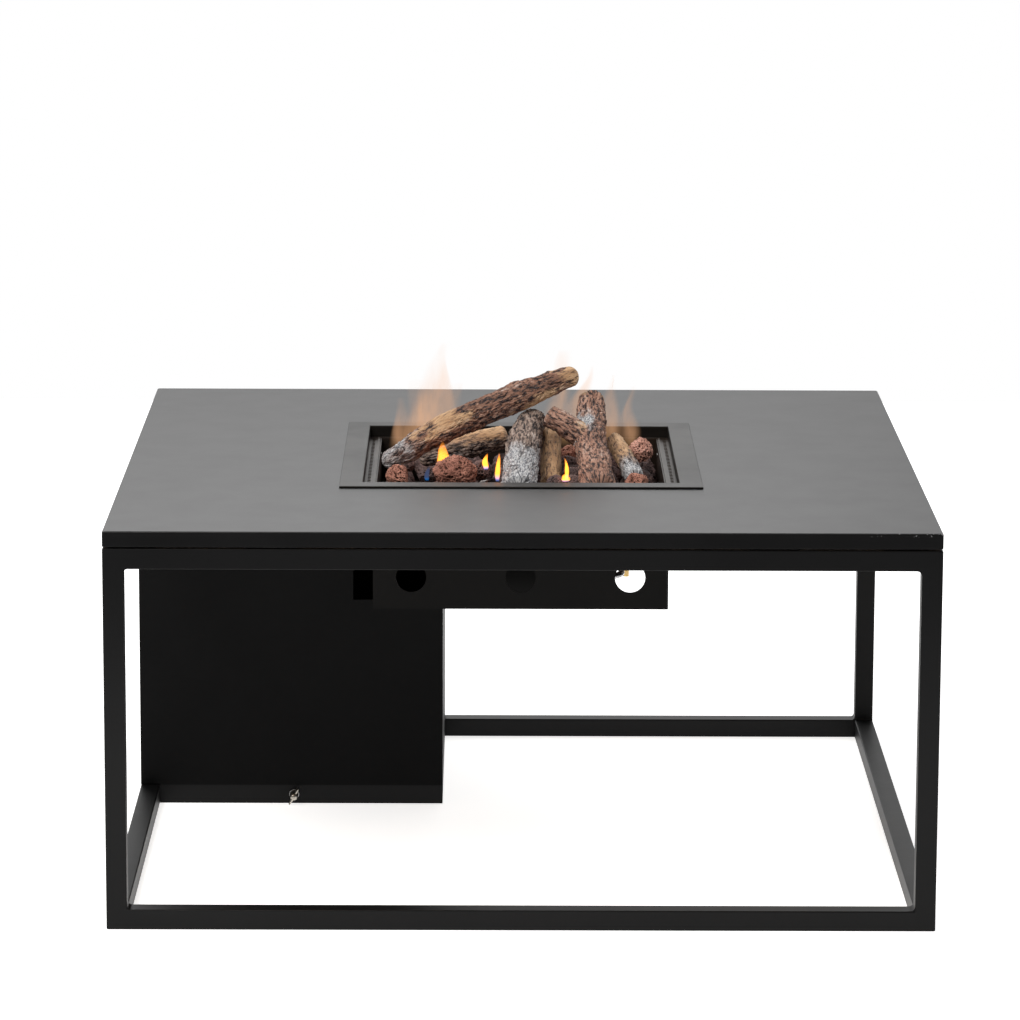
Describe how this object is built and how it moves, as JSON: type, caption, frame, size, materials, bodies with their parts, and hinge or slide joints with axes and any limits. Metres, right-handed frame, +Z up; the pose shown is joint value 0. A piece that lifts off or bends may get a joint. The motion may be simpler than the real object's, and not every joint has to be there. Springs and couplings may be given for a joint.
{
  "type": "fire pit table",
  "caption": "Square gas fire-pit table with an open tube frame, thin top, drop-in burner with slotted rim grate, ceramic logs, lava stones and a lift-off bottle housing door.",
  "frame": {"origin": "centre of the square footprint, on the floor plane", "axes": "+Z up, -Y towards the front where the vented burner housing and the bottle door face the viewer, +X to the viewer's right"},
  "size_m": [1, 1, 0.6038],
  "materials": {
    "frame_coat": "fine-textured matte powder coat on steel tube, black",
    "top_coat": "fine-textured matte powder coat on steel sheet, anthracite black",
    "housing_coat": "matte powder coat on sheet steel, black",
    "burner_coat": "heat-resistant satin black coating on sheet steel",
    "core_board": "sealed exterior plywood",
    "pad_rubber": "black rubber",
    "plain_steel": "zinc-plated steel",
    "burner_steel": "stainless steel, heat-tinted",
    "nickel": "dull nickel plate with a warm cast",
    "brass": "machined brass",
    "pipe_aluminium": "drawn aluminium tube",
    "knob_plastic": "black moulded plastic",
    "button_plastic": "red moulded plastic",
    "white_ceramic": "white alumina",
    "bark_ceramic": "moulded ceramic fibre log, painted as bark with grey ash patches",
    "lava": "porous dark red lava stone"
  },
  "bodies": {
    "root": {"leg_front_left": "frame_coat", "leg_front_right": "frame_coat", "leg_back_left": "frame_coat", "leg_back_right": "frame_coat", "top_rail_front": "frame_coat", "top_rail_back": "frame_coat", "top_rail_left": "frame_coat", "top_rail_right": "frame_coat", "bottom_rail_front": "frame_coat", "bottom_rail_back": "frame_coat", "bottom_rail_left": "frame_coat", "bottom_rail_right": "frame_coat", "base_rail_front": "frame_coat", "base_rail_right": "frame_coat", "corner_tabs": "frame_coat", "tabletop": "top_coat", "tabletop_core": "core_board", "spacer_pads": "pad_rubber", "top_screws": "plain_steel", "valve_nut": "plain_steel", "plate_screws": "plain_steel", "clamp_screws": "plain_steel", "housing_rivets": "plain_steel", "rivet_nut": "plain_steel", "control_plate": "plain_steel", "burner_flange": "burner_coat", "slotted_rim": "burner_coat", "fire_tray": "burner_coat", "burner_housing": "burner_coat", "jet_bracket": "burner_coat", "clamp_brackets": "burner_coat", "burner_ring": "burner_steel", "mixer_tube": "burner_steel", "thermocouple": "burner_steel", "jet_holder": "brass", "gas_valve": "brass", "gas_inlet": "brass", "supply_pipe": "pipe_aluminium", "igniter_body": "knob_plastic", "spark_electrode": "white_ceramic", "bottle_floor": "housing_coat", "left_wall": "housing_coat", "back_wall": "housing_coat", "right_wall": "housing_coat", "log_long": "bark_ceramic", "log_upright": "bark_ceramic", "log_forked": "bark_ceramic", "log_back": "bark_ceramic", "log_short": "bark_ceramic", "log_middle": "bark_ceramic", "lava_bed": "lava", "lava_stones": "lava"},
    "door": {"bottle_door": "housing_coat", "door_hook": "housing_coat"},
    "wing_screw": {"wing_screw": "nickel"},
    "knob": {"control_knob": "knob_plastic", "valve_stem": "plain_steel"},
    "igniter_button": {"igniter_button": "button_plastic"}
  },
  "joints": [
    {"name": "door_lift", "type": "slide", "parent": "root", "child": "door", "axis": [0, 0, 1], "range_m": [0, 0.022]},
    {"name": "wing_screw_turn", "type": "hinge", "parent": "root", "child": "wing_screw", "pos_m": [-0.297, 0.1, 0.0125], "axis": [0, -1, 0], "continuous": true},
    {"name": "knob_turn", "type": "hinge", "parent": "root", "child": "knob", "pos_m": [0.2, 0.11, 0.356], "axis": [1, 0, 0], "range_deg": [0, 180]},
    {"name": "button_press", "type": "slide", "parent": "root", "child": "igniter_button", "axis": [-1, 0, 0], "range_m": [0, 0.005], "stiffness_N_per_m": 1200}
  ]
}
